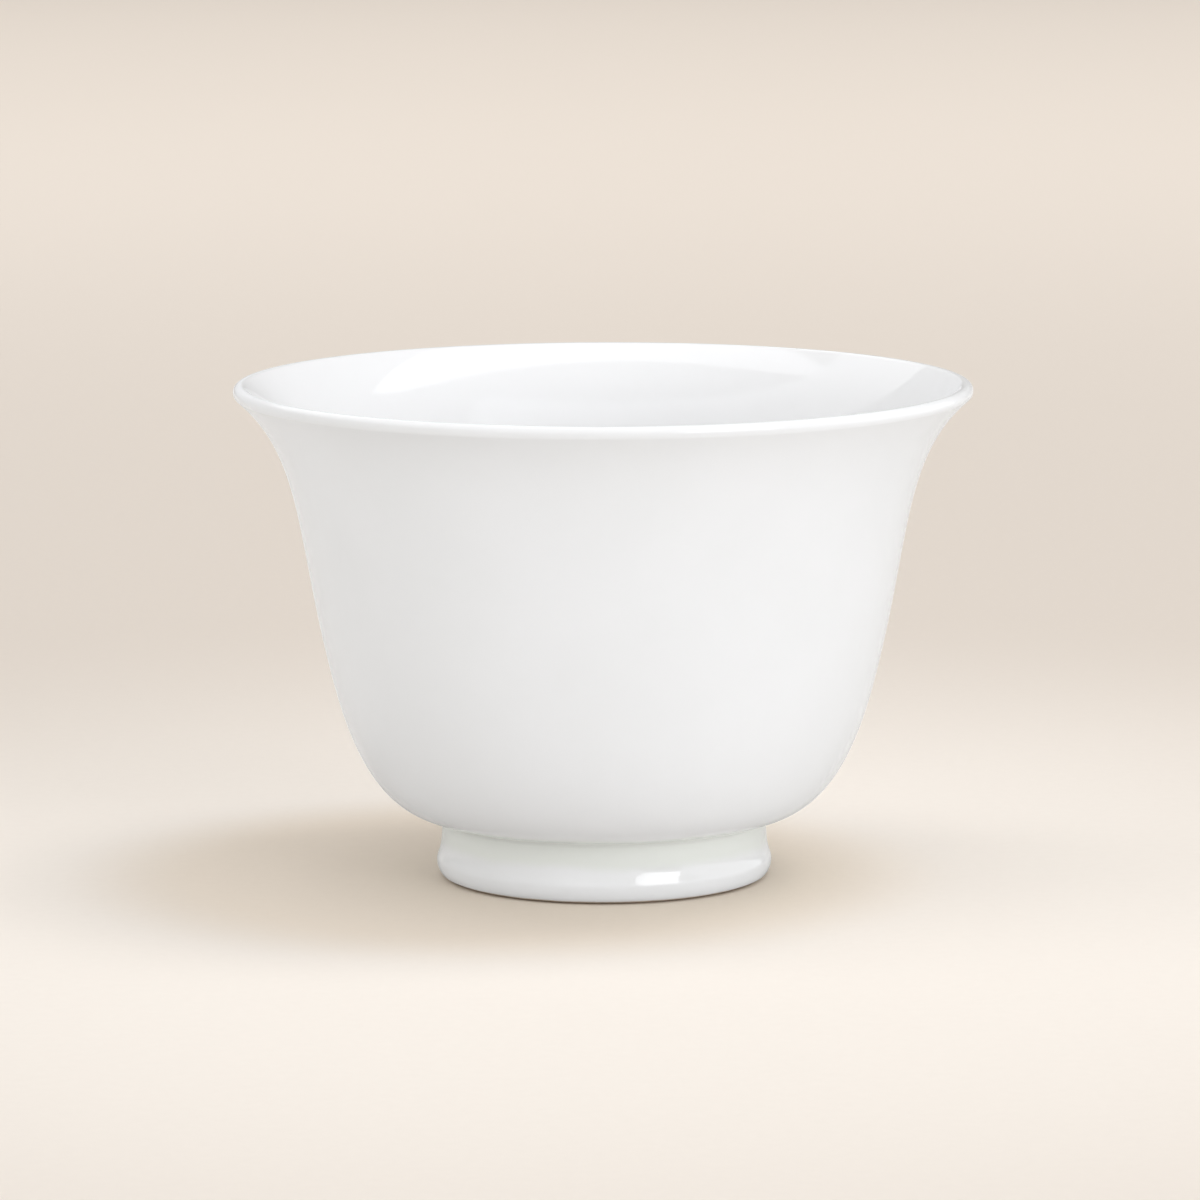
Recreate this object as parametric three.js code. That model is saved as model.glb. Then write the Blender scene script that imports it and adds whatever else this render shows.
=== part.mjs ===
// Handleless porcelain teacup: a bell-shaped bowl with a turned-out lip, standing on a ring foot.
// The cup is put together as a potter makes it. The bowl and the foot ring are separate castings,
// a ring of clay slip lutes them together, and glaze coats the outside, the inside and the base.
// The standing edge of the foot ring stays bare, so that the cup doesn't fuse to the kiln shelf.
// Millimetres, +Z up. The origin is on the cup's axis, in the plane that the cup stands on.

import * as THREE from "three";

// Overall sizes, measured over the glaze like every size below
const RIM_DIAMETER = 88;
const CUP_HEIGHT = 59.5;

// Lip: a full round edge, where the wall leans out from the vertical by the flare angle
const LIP_THICKNESS = 1.7;
const LIP_FLARE_DEG = 49;

// Wall: the station where the belly's curve hands over to the flare's curve
const WALL_DIAMETER = 66.4;
const WALL_HEIGHT = 27.1;
const WALL_TAPER_DEG = 13;
const WALL_THICKNESS = 2.3;

// Neck, where the bowl's underside meets the foot
const NECK_DIAMETER = 38.9;
const NECK_HEIGHT = 7.45;
const NECK_FILLET = 0.8;
const UNDERSIDE_SLOPE_DEG = 5;

// How far each curve runs on straight from its lower and its upper end before it turns
const BELLY_PULL = { low: 8.5, high: 7.2 };
const FLARE_PULL = { low: 15.5, high: 10.1 };
const WELL_PULL = { low: 14.5, high: 12 };
const MOUTH_PULL = { low: 16, high: 11 };

// Floor of the bowl, above the flat seat that the foot ring is joined to
const JOINT_HEIGHT = 7.05;
const FLOOR_THICKNESS = 4;
const FLOOR_DIAMETER = 26;
const FLOOR_DISH = 0.35;

// Foot ring
const FOOT_DIAMETER = 40.2;
const FOOT_SWELL_HEIGHT = 2;
const FOOT_COVE_PULL = { low: 0.9, high: 3.8 };
const STANDING_OUTER_DIAMETER = 37.3;
const STANDING_INNER_DIAMETER = 34.4;
const BORE_DIAMETER = 32.4;
const BORE_ROUND_HEIGHT = 1.3;
const BORE_DRAFT_DEG = 4;

// Slip joint and glaze
const SLIP_THICKNESS = 0.3;
const GLAZE_THICKNESS = 0.25;
const GLAZE_LINE_HEIGHT = 0.45;
const GLAZE_POOL_RADIUS = 1.2;
const FUSED_GAP = 0.03;

// Facets round the axis, and how far a long sweep and a small round turn from facet to facet
const FACETS = 44;
const SWEEP_TURN_DEG = 9;
const ROUND_TURN_DEG = 24;

// Colours and roughness of the fired clay and of the glaze
const BISCUIT = { color: 0xf1eee7, roughness: 0.85, metalness: 0 };
const LUTING = { color: 0xe9e5dc, roughness: 0.9, metalness: 0 };
const GLAZE = { color: 0xf4f5f3, roughness: 0.08, metalness: 0 };

// Worked-out places and directions
const BODY_DEPTH = GLAZE_THICKNESS + FUSED_GAP;
const RING_TOP = JOINT_HEIGHT - SLIP_THICKNESS;
const BASE_HEIGHT = JOINT_HEIGHT - BODY_DEPTH;
const FLOOR_HEIGHT = JOINT_HEIGHT + FLOOR_THICKNESS;
const LIP_RADIUS = LIP_THICKNESS / 2;
const LIP_CENTRE = at(RIM_DIAMETER / 2 - LIP_RADIUS, CUP_HEIGHT - LIP_RADIUS);
const LIP_HEADING = leaning(LIP_FLARE_DEG);
const WALL_HEADING = leaning(WALL_TAPER_DEG);
const WALL_OUTSIDE = at(WALL_DIAMETER / 2, WALL_HEIGHT);
const WALL_INSIDE = WALL_OUTSIDE.clone().addScaledVector(leftOf(WALL_HEADING), WALL_THICKNESS);
const UP = leaning(0);
const INWARD = leaning(-90);

// A point of a profile: its distance from the axis and its height.
function at(radius, height) {
  return new THREE.Vector2(radius, height);
}

// The direction of a line that climbs while it leans out from the vertical.
function leaning(degrees) {
  const lean = THREE.MathUtils.degToRad(degrees);
  return new THREE.Vector2(Math.sin(lean), Math.cos(lean));
}

// The direction a quarter turn anticlockwise: towards the axis, for a line that climbs.
function leftOf(direction) {
  return new THREE.Vector2(-direction.y, direction.x);
}

// Points along a curve that share its turning out evenly, so that they lie closest where it bends most.
function faceted(curve, turnDeg) {
  const samples = 240;
  const turned = [0];
  for (let i = 1; i <= samples; i += 1) {
    const before = curve.getTangent((i - 1) / samples);
    turned.push(turned[i - 1] + before.angleTo(curve.getTangent(i / samples)));
  }
  const whole = turned[samples];
  const count = Math.max(1, Math.ceil(whole / THREE.MathUtils.degToRad(turnDeg)));
  const points = [curve.getPoint(0)];
  for (let k = 1; k < count; k += 1) {
    const sample = turned.findIndex((turn) => turn >= (whole * k) / count);
    points.push(curve.getPoint(sample / samples));
  }
  return [...points, curve.getPoint(1)];
}

// A curve that leaves one point in a direction and arrives at another in a second direction.
function sweep(from, leaving, leavePull, to, arriving, arrivePull, turnDeg = SWEEP_TURN_DEG) {
  const leave = from.clone().addScaledVector(leaving, leavePull);
  const arrive = to.clone().addScaledVector(arriving, -arrivePull);
  return faceted(new THREE.CubicBezierCurve(from, leave, arrive, to), turnDeg);
}

// Part of an ellipse, between two angles measured anticlockwise from the outward direction.
function round(centre, width, height, startDeg, endDeg) {
  const [start, end] = [startDeg, endDeg].map(THREE.MathUtils.degToRad);
  const clockwise = end < start;
  const curve = new THREE.EllipseCurve(centre.x, centre.y, width, height, start, end, clockwise);
  return faceted(curve, ROUND_TURN_DEG);
}

// The angle below the outward direction at which a round that stands on the plane reaches a height.
function depthDeg(height, roundHeight) {
  return THREE.MathUtils.radToDeg(Math.asin(1 - height / roundHeight));
}

// Stretches of profile end to end, with the points that they share kept once.
function joined(...stretches) {
  const sameSpot = 1e-6;
  return stretches.flat().filter((p, i, all) => i === 0 || p.distanceTo(all[i - 1]) > sameSpot);
}

// A profile moved sideways: to its left by a positive distance, to its right by a negative one.
function moved(points, distance) {
  return points.map((point, i) => {
    const before = points[Math.max(i - 1, 0)];
    const after = points[Math.min(i + 1, points.length - 1)];
    const along = after.clone().sub(before).normalize();
    return point.clone().addScaledVector(leftOf(along), distance);
  });
}

// The same points in the other order.
function reversed(points) {
  return [...points].reverse();
}

// The point where a climbing profile passes a height, and the number of its next point.
function crossing(points, height) {
  const next = points.findIndex((p) => p.y > height);
  const [low, high] = [points[next - 1], points[next]];
  return { next, point: low.clone().lerp(high, (height - low.y) / (high.y - low.y)) };
}

// The part of a climbing profile below a height, cut off square.
function below(points, height) {
  const { next, point } = crossing(points, height);
  return [...points.slice(0, next), point];
}

// The part of a climbing profile above a height, cut off square.
function above(points, height) {
  const { next, point } = crossing(points, height);
  return [point, ...points.slice(next)];
}

// Outside of the cup over its glaze, from the glaze line at the foot up to the crest of the lip.
function outsideSkin() {
  const standingRadius = STANDING_OUTER_DIAMETER / 2;
  const swell = at(FOOT_DIAMETER / 2, FOOT_SWELL_HEIGHT);
  const heelCentre = at(standingRadius, FOOT_SWELL_HEIGHT);
  const heelStart = -depthDeg(GLAZE_LINE_HEIGHT, FOOT_SWELL_HEIGHT);
  const neck = at(NECK_DIAMETER / 2, NECK_HEIGHT - NECK_FILLET);
  const filletCentre = at(neck.x + NECK_FILLET, neck.y);
  const filletEnd = 90 + UNDERSIDE_SLOPE_DEG;
  const fillet = round(filletCentre, NECK_FILLET, NECK_FILLET, 180, filletEnd);
  const underside = leaning(90 - UNDERSIDE_SLOPE_DEG);
  const lipUnder = round(LIP_CENTRE, LIP_RADIUS, LIP_RADIUS, -LIP_FLARE_DEG, 0);
  const lipOver = round(LIP_CENTRE, LIP_RADIUS, LIP_RADIUS, 0, 90);
  return joined(
    round(heelCentre, swell.x - standingRadius, FOOT_SWELL_HEIGHT, heelStart, 0),
    sweep(swell, UP, FOOT_COVE_PULL.low, neck, UP, FOOT_COVE_PULL.high),
    fillet,
    sweep(fillet.at(-1), underside, BELLY_PULL.low, WALL_OUTSIDE, WALL_HEADING, BELLY_PULL.high),
    sweep(WALL_OUTSIDE, WALL_HEADING, FLARE_PULL.low, lipUnder[0], LIP_HEADING, FLARE_PULL.high),
    lipUnder,
    lipOver,
  );
}

// Inside of the cup over its glaze, from the crest of the lip down to the middle of the floor.
function insideSkin() {
  const lip = round(LIP_CENTRE, LIP_RADIUS, LIP_RADIUS, 90, 180 - LIP_FLARE_DEG);
  const downLip = LIP_HEADING.clone().negate();
  const downWall = WALL_HEADING.clone().negate();
  const floorEdge = at(FLOOR_DIAMETER / 2, FLOOR_HEIGHT);
  const floorMiddle = at(0, FLOOR_HEIGHT - FLOOR_DISH);
  const dishPull = floorEdge.x / 2;
  return joined(
    lip,
    sweep(lip.at(-1), downLip, MOUTH_PULL.high, WALL_INSIDE, downWall, MOUTH_PULL.low),
    sweep(WALL_INSIDE, downWall, WELL_PULL.high, floorEdge, INWARD, WELL_PULL.low),
    sweep(floorEdge, INWARD, dishPull, floorMiddle, INWARD, dishPull),
  );
}

// Bore of the foot ring over its glaze, from the glaze line up past the joint.
function boreSkin() {
  const standingRadius = STANDING_INNER_DIAMETER / 2;
  const wall = at(BORE_DIAMETER / 2, BORE_ROUND_HEIGHT);
  const heelCentre = at(standingRadius, BORE_ROUND_HEIGHT);
  const heelStart = 180 + depthDeg(GLAZE_LINE_HEIGHT, BORE_ROUND_HEIGHT);
  const climb = leaning(-BORE_DRAFT_DEG);
  const top = wall.clone().addScaledVector(climb, (NECK_HEIGHT - wall.y) / climb.y);
  return joined(
    round(heelCentre, standingRadius - wall.x, BORE_ROUND_HEIGHT, heelStart, 180),
    [top],
  );
}

// The same faces of the fired clay, as deep below the skin as the glaze is thick.
function clayOutside() {
  const skin = moved(outsideSkin(), BODY_DEPTH);
  return [...skin.slice(0, -1), at(LIP_CENTRE.x, CUP_HEIGHT - BODY_DEPTH)];
}

function clayInside() {
  const skin = moved(insideSkin(), BODY_DEPTH);
  return [...skin.slice(1, -1), at(0, FLOOR_HEIGHT - FLOOR_DISH - BODY_DEPTH)];
}

function clayBore() {
  return moved(boreSkin(), -BODY_DEPTH);
}

// A solid turned about the axis. Its profile has the solid on its left all the way.
function turned(profile) {
  return new THREE.LatheGeometry(profile, FACETS).rotateX(Math.PI / 2);
}

// A turned ring, whose profile closes on itself.
function turnedRing(profile) {
  return turned([...profile, profile[0]]);
}

// Bowl: the thin fired wall, with a flat seat underneath for the foot ring.
function bowl() {
  return turned(joined(
    [at(0, JOINT_HEIGHT)],
    above(clayOutside(), JOINT_HEIGHT),
    clayInside(),
  ));
}

// Slip joint: the flat film of clay slip that lutes the foot ring to the bowl's seat.
function slipJoint() {
  return turnedRing(joined(
    above(below(clayOutside(), JOINT_HEIGHT), RING_TOP),
    reversed(above(below(clayBore(), JOINT_HEIGHT), RING_TOP)),
  ));
}

// Foot ring: swelling and coved outside, drafted inside, with a flat bare edge to stand on.
function footRing() {
  return turnedRing(joined(
    [at(STANDING_INNER_DIAMETER / 2, 0), at(STANDING_OUTER_DIAMETER / 2, 0)],
    below(clayOutside(), RING_TOP),
    reversed(below(clayBore(), RING_TOP)),
  ));
}

// Outside glaze: one coat from the crest of the lip down to the glaze line on the foot.
function outsideGlaze() {
  const buried = moved(outsideSkin(), GLAZE_THICKNESS);
  const crest = at(LIP_CENTRE.x, CUP_HEIGHT - GLAZE_THICKNESS);
  return turnedRing(joined(
    outsideSkin(),
    [crest],
    reversed(buried.slice(0, -1)),
  ));
}

// Inside glaze: the lining, from the crest of the lip down over the floor.
function insideGlaze() {
  const buried = moved(insideSkin(), GLAZE_THICKNESS);
  const crest = at(LIP_CENTRE.x, CUP_HEIGHT - GLAZE_THICKNESS);
  const middle = at(0, FLOOR_HEIGHT - FLOOR_DISH - GLAZE_THICKNESS);
  return turned(joined(
    [middle],
    reversed(buried.slice(1, -1)),
    [crest],
    insideSkin(),
  ));
}

// Base glaze: lines the bore and the base, and pools in the corner between them.
function baseGlaze() {
  const quarterTurn = 0.55;
  const poolPull = GLAZE_POOL_RADIUS * quarterTurn;
  const wall = below(boreSkin(), BASE_HEIGHT - GLAZE_POOL_RADIUS);
  const poolEnd = at(wall.at(-1).x - GLAZE_POOL_RADIUS, BASE_HEIGHT);
  const climb = leaning(-BORE_DRAFT_DEG);
  const pool = sweep(wall.at(-1), climb, poolPull, poolEnd, INWARD, poolPull, ROUND_TURN_DEG);
  const buried = moved(boreSkin(), -GLAZE_THICKNESS);
  const baseTop = JOINT_HEIGHT - FUSED_GAP;
  return turned(joined(
    [at(0, BASE_HEIGHT)],
    reversed(joined(wall, pool)),
    below(buried, baseTop),
    [at(0, baseTop)],
  ));
}

// A named piece of the cup.
function piece(name, geometry, finish) {
  const mesh = new THREE.Mesh(geometry, new THREE.MeshStandardMaterial(finish));
  mesh.name = name;
  return mesh;
}

const teacup = new THREE.Group();
teacup.add(
  piece("bowl", bowl(), BISCUIT),
  piece("slip_joint", slipJoint(), LUTING),
  piece("foot_ring", footRing(), BISCUIT),
  piece("outside_glaze", outsideGlaze(), GLAZE),
  piece("inside_glaze", insideGlaze(), GLAZE),
  piece("base_glaze", baseGlaze(), GLAZE),
);

export default teacup;
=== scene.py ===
"""White porcelain teacup without a handle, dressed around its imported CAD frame.

The cup is turned from one set of profiles, in millimetres as on a maker's drawing. The fired clay
lies under coats of clear glaze, and only the edge that the cup stands on is left bare.
"""

import logging
import math
from collections.abc import Iterator
from dataclasses import dataclass, field
from enum import Enum
from typing import Protocol

import bpy
import numpy as np
from mathutils import Matrix, Vector


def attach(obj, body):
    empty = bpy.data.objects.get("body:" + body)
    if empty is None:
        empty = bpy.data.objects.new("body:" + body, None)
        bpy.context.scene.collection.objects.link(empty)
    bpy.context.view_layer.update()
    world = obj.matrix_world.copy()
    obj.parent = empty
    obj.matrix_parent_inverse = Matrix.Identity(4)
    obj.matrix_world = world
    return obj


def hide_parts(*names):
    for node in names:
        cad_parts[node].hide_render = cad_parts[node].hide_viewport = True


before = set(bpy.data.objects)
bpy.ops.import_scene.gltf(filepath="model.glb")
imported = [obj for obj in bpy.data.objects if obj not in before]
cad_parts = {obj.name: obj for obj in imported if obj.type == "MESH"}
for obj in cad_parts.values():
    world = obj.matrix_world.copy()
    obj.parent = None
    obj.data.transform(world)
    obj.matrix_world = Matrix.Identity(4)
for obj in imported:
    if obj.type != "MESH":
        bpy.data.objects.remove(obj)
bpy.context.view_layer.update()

LOG = logging.getLogger("teacup")
MM = 0.001
SAME_SPOT = 1e-6
BODY = "root"
CUP_MIDDLE = Vector((0.0, 0.0, 30 * MM))

Colour = tuple[float, float, float]
WHITE_LIGHT: Colour = (1.0, 1.0, 1.0)
COOL_LIGHT: Colour = (0.98, 1.0, 1.04)
SHEET_LIGHT: Colour = (0.97, 0.98, 1.0)


class Slot(Enum):
    """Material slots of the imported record."""

    BISCUIT = "biscuit"
    LUTING_SLIP = "luting_slip"
    OUTSIDE_GLAZE = "outside_glaze"
    INSIDE_GLAZE_PAINTED_SHADE = "inside_glaze"
    BASE_GLAZE = "base_glaze"


# Turned profiles


@dataclass(frozen=True)
class Station:
    """A point of a profile (radius, height) and the direction straight out of the surface there."""

    spot: Vector
    out: Vector

    @property
    def heading(self) -> Vector:
        """The way that the profile runs on, with the solid on its left."""
        return Vector((-self.out.y, self.out.x))

    def sunk(self, depth: float) -> "Station":
        """The same station, deeper below the surface."""
        return Station(self.spot - depth * self.out, self.out)

    def turned_over(self) -> "Station":
        """The same station on a surface that faces the other way."""
        return Station(self.spot, -self.out)


Run = list[Station]


class Curve(Protocol):
    """A stretch of profile, followed from 0 to 1."""

    def point(self, t: float) -> Vector:
        """The place at a share of the way."""

    def heading(self, t: float) -> Vector:
        """The direction at a share of the way."""


def at(radius: float, height: float) -> Vector:
    """A point of a profile."""
    return Vector((radius, height))


def leaning(degrees: float) -> Vector:
    """The direction of a line that climbs while it leans out from the vertical."""
    lean = math.radians(degrees)
    return Vector((math.sin(lean), math.cos(lean)))


UP = leaning(0)
OUTWARD = leaning(90)
INWARD = leaning(-90)


@dataclass(frozen=True)
class Line:
    """A straight stretch."""

    start: Vector
    end: Vector

    def point(self, t: float) -> Vector:
        """The place at a share of the way."""
        return self.start.lerp(self.end, t)

    def heading(self, t: float) -> Vector:
        """The direction, the same all the way."""
        return (self.end - self.start).normalized()


@dataclass(frozen=True)
class Sweep:
    """A curve that leaves one point in a direction and arrives at another in a second one."""

    start: Vector
    leaving: Vector
    end: Vector
    arriving: Vector
    pulls: tuple[float, float]

    def controls(self) -> list[Vector]:
        """The four control points of the cubic.

        Returns:
            The start, the two points that pull on the curve, and the end.
        """
        leave_pull, arrive_pull = self.pulls
        leave = self.start + leave_pull * self.leaving
        arrive = self.end - arrive_pull * self.arriving
        return [self.start, leave, arrive, self.end]

    def point(self, t: float) -> Vector:
        """The place at a share of the way."""
        (a, b, c, d), u = self.controls(), 1 - t
        return u**3 * a + 3 * u * u * t * b + 3 * u * t * t * c + t**3 * d

    def heading(self, t: float) -> Vector:
        """The direction at a share of the way."""
        (a, b, c, d), u = self.controls(), 1 - t
        return (u * u * (b - a) + 2 * u * t * (c - b) + t * t * (d - c)).normalized()


@dataclass(frozen=True)
class Round:
    """Part of an ellipse, between two angles measured anticlockwise from the outward direction."""

    centre: Vector
    width: float
    height: float
    start_deg: float
    end_deg: float

    def angle(self, t: float) -> float:
        """The angle at a share of the way, in radians."""
        return math.radians(self.start_deg + t * (self.end_deg - self.start_deg))

    def point(self, t: float) -> Vector:
        """The place at a share of the way."""
        a = self.angle(t)
        return self.centre + at(self.width * math.cos(a), self.height * math.sin(a))

    def heading(self, t: float) -> Vector:
        """The direction at a share of the way."""
        a, way = self.angle(t), math.copysign(1, self.end_deg - self.start_deg)
        return way * at(-self.width * math.sin(a), self.height * math.cos(a)).normalized()


def stations(curve: Curve, turn_deg: float = 2.5, step: float = 1.2) -> Run:
    """Stations along a curve, closest together where it bends most.

    Args:
        curve: the curve, with the solid on its left.
        turn_deg: about how far it turns from station to station where it bends.
        step: about how far apart the stations lie where it is straight.

    Returns:
        The stations, from the curve's start to its end.
    """
    sample_count = 401
    shares = np.linspace(0, 1, sample_count).tolist()
    spots = [curve.point(t) for t in shares]
    headings = [curve.heading(t) for t in shares]
    spent = [0.0]
    for i in range(1, len(shares)):
        turn = math.degrees(headings[i].angle(headings[i - 1]))
        spent.append(spent[-1] + turn / turn_deg + (spots[i] - spots[i - 1]).length / step)
    goals = np.linspace(0, spent[-1], max(2, math.ceil(spent[-1])) + 1)
    run = []
    for t in np.interp(goals, spent, shares).tolist():
        way = curve.heading(t)
        run.append(Station(curve.point(t), Vector((way.y, -way.x))))
    return run


def chained(*runs: Run) -> Run:
    """Joins runs that flow into each other.

    Args:
        runs: the runs, in order.

    Returns:
        One run, with the stations that they share kept once.
    """
    whole = list(runs[0])
    for run in runs[1:]:
        whole += run[1:] if (run[0].spot - whole[-1].spot).length < SAME_SPOT else run
    return whole


def sunk(run: Run, depth: float) -> Run:
    """A run moved below the surface."""
    return [station.sunk(depth) for station in run]


def backwards(run: Run) -> Run:
    """A run followed the other way, so that it faces the other way."""
    return [station.turned_over() for station in reversed(run)]


def cut(run: Run, height: float) -> tuple[int, Station]:
    """Where a run passes a height.

    Args:
        run: a run that climbs, or falls, past the height once.
        height: the height.

    Returns:
        The number of the first station past the height, and the station on it.
    """
    climbs = run[-1].spot.y > run[0].spot.y
    past = next(i for i, s in enumerate(run) if i and (s.spot.y > height) == climbs)
    before, after = run[past - 1], run[past]
    share = (height - before.spot.y) / (after.spot.y - before.spot.y)
    spot = before.spot.lerp(after.spot, share)
    return past, Station(spot, before.out.lerp(after.out, share).normalized())


def up_to(run: Run, height: float) -> Run:
    """The part of a run before it passes a height."""
    past, station = cut(run, height)
    return [*run[:past], station]


def on_from(run: Run, height: float) -> Run:
    """The part of a run after it passes a height."""
    past, station = cut(run, height)
    return [station, *run[past:]]


def flat(start: Vector, end: Vector) -> Run:
    """A straight run from corner to corner."""
    return stations(Line(start, end), step=2.5)


def guarded(run: Run) -> Run:
    """Keeps a run's shading true up to its corners.

    Args:
        run: the run.

    Returns:
        The run with one more station, set close, at each end.
    """
    close = 0.01
    first, last = run[0], run[-1]
    inner_first = Station(first.spot + close * first.heading, first.out)
    inner_last = Station(last.spot - close * last.heading, last.out)
    return [first, inner_first, *run[1:-1], inner_last, last]


@dataclass
class TurnedPiece:
    """A closed piece, turned about the cup's axis from smooth runs that meet at sharp corners.

    The runs follow each other with the solid on their left. They start and end on the axis, or
    else close on themselves as a ring.
    """

    name: str
    runs: list[Run]
    segments: int = 192

    def corners(self) -> tuple[list[Vector], set[int]]:
        """The whole profile.

        Returns:
            Its points, each kept once, and the numbers of the sharp ones among them.
        """
        spots: list[Vector] = []
        sharp: set[int] = set()
        for run in self.runs:
            for station in run:
                if not spots or (station.spot - spots[-1]).length > SAME_SPOT:
                    spots.append(station.spot)
            sharp.add(len(spots) - 1)
        if (spots[-1] - spots[0]).length < SAME_SPOT:
            spots.pop()
            sharp = {number % len(spots) for number in sharp}
        return spots, sharp

    def faces(self, starts: list[int], widths: list[int], closed: bool) -> Iterator[list[int]]:
        """The faces between each profile point's ring of vertices and the next.

        Args:
            starts: the first vertex of each ring.
            widths: how many vertices each ring has, which is one on the axis.
            closed: whether the last ring joins the first.

        Yields:
            The vertices of each face, which points out of the solid.
        """
        count = len(starts)
        for i in range(count if closed else count - 1):
            k = (i + 1) % count
            for j in range(self.segments):
                after = (j + 1) % self.segments
                low = [starts[i] + j, starts[i] + after] if widths[i] > 1 else [starts[i]]
                high = [starts[k] + after, starts[k] + j] if widths[k] > 1 else [starts[k]]
                yield low + high

    def build(self) -> bpy.types.Object:
        """Makes the mesh, in metres, and links it to the scene.

        Returns:
            The piece.
        """
        spots, sharp = self.corners()
        turns = np.arange(self.segments) * (2 * math.pi / self.segments)
        points, starts, widths, ring_of = [], [], [], []
        for number, spot in enumerate(spots):
            angles = turns if spot.x > SAME_SPOT else turns[:1]
            starts.append(len(points))
            widths.append(len(angles))
            ring_of += [number] * len(angles)
            points += [
                (MM * spot.x * math.cos(a), MM * spot.x * math.sin(a), MM * spot.y) for a in angles
            ]
        closed = widths[0] > 1 and widths[-1] > 1
        mesh = bpy.data.meshes.new(self.name)
        mesh.from_pydata(points, [], list(self.faces(starts, widths, closed)))
        mesh.shade_smooth()
        ends = np.zeros(2 * len(mesh.edges), np.int32)
        mesh.edges.foreach_get("vertices", ends)
        rings = np.array(ring_of)[ends.reshape(-1, 2)]
        around = (rings[:, 0] == rings[:, 1]) & np.isin(rings[:, 0], list(sharp))
        mark = mesh.attributes.new("sharp_edge", "BOOLEAN", "EDGE")
        mark.data.foreach_set("value", around)
        piece = bpy.data.objects.new(self.name, mesh)
        bpy.context.scene.collection.objects.link(piece)
        return piece


def place(piece: bpy.types.Object, node: str, finish: bpy.types.Material) -> None:
    """Puts a piece on the cup in the place of its CAD node.

    Args:
        piece: the piece.
        node: the CAD node that it stands for.
        finish: its material.
    """
    piece.data.materials.append(finish)
    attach(piece, BODY)
    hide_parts(node)
    LOG.info("%s: %d faces, in place of %s", piece.name, len(piece.data.polygons), node)


# Shading


@dataclass
class Wiring:
    """Adds nodes to a tree and joins them."""

    tree: bpy.types.NodeTree

    def add(self, kind: str, **settings: object) -> bpy.types.Node:
        """A new node.

        Args:
            kind: the node's type, without the prefix that all shader nodes share.
            settings: its properties by name.

        Returns:
            The node.
        """
        node = self.tree.nodes.new("ShaderNode" + kind)
        for name, value in settings.items():
            setattr(node, name, value)
        return node

    def feed(self, target: bpy.types.NodeSocket, source: object) -> None:
        """Joins a socket to another one, or sets its value.

        Args:
            target: the socket.
            source: the other socket, or the value.
        """
        if isinstance(source, bpy.types.NodeSocket):
            self.tree.links.new(source, target)
        else:
            target.default_value = source

    def result(
        self, kind: str, output: str, inputs: dict[str | int, object], **settings: object
    ) -> bpy.types.NodeSocket:
        """What a new node puts out.

        Args:
            kind: the node's type, as in add.
            output: the output's name.
            inputs: what goes into its inputs, by name or number.
            settings: its properties by name.

        Returns:
            The output.
        """
        node = self.add(kind, **settings)
        for label, source in inputs.items():
            self.feed(node.inputs[label], source)
        return node.outputs[output]

    def maths(self, operation: str, *terms: object) -> bpy.types.NodeSocket:
        """The result of a sum or another operation on values."""
        return self.result("Math", "Value", dict(enumerate(terms)), operation=operation)

    def ramped(self, value: object, low: object, high: object) -> bpy.types.NodeSocket:
        """A mask that eases from 0 at a low value to 1 at a high one."""
        inputs = {"Value": value, "From Min": low, "From Max": high}
        return self.result("MapRange", "Result", inputs, interpolation_type="SMOOTHSTEP")

    def spread(self, value: object, low: object, high: object) -> bpy.types.NodeSocket:
        """A value between two others, at the share of the way that a mask gives."""
        return self.result("MapRange", "Result", {"Value": value, "To Min": low, "To Max": high})

    def blended(self, share: object, first: object, second: object) -> bpy.types.NodeSocket:
        """A colour between two others."""
        inputs = {"Factor": share, "A": first, "B": second}
        return self.result("Mix", "Result", inputs, data_type="RGBA")

    def noise(self, where: object, size: object, detail: float = 2.0) -> bpy.types.NodeSocket:
        """Soft noise whose features are about a size across, in metres."""
        scale = self.maths("DIVIDE", 1.0, size)
        return self.result("TexNoise", "Fac", {"Vector": where, "Scale": scale, "Detail": detail})

    def distance(self, where: object, centre: tuple[float, float, float]) -> bpy.types.NodeSocket:
        """How far a place is from a fixed point, in metres."""
        return self.result("VectorMath", "Value", {0: where, 1: centre}, operation="DISTANCE")

    def raise_surface(self, shader: bpy.types.Node, height: object, relief: float) -> None:
        """Shades a surface as if a height map stood out from it, by a relief in metres."""
        normal = self.result("Bump", "Normal", {"Distance": relief, "Height": height})
        self.feed(shader.inputs["Normal"], normal)


def rgba(colour: Colour) -> tuple[float, float, float, float]:
    """An opaque colour for a socket."""
    return (*colour, 1.0)


def new_group(name: str, inputs: dict[str, float], outputs: list[str]) -> bpy.types.NodeTree:
    """A shader node group with value sockets.

    Args:
        name: the group's name.
        inputs: its inputs by name, with their usual values.
        outputs: the names of its outputs.

    Returns:
        The group, with its input and output nodes in it.
    """
    group = bpy.data.node_groups.new(name, "ShaderNodeTree")
    for label, usual in inputs.items():
        socket = group.interface.new_socket(label, in_out="INPUT", socket_type="NodeSocketFloat")
        socket.default_value = usual
    for label in outputs:
        group.interface.new_socket(label, in_out="OUTPUT", socket_type="NodeSocketFloat")
    group.nodes.new("NodeGroupInput")
    group.nodes.new("NodeGroupOutput")
    return group


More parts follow.
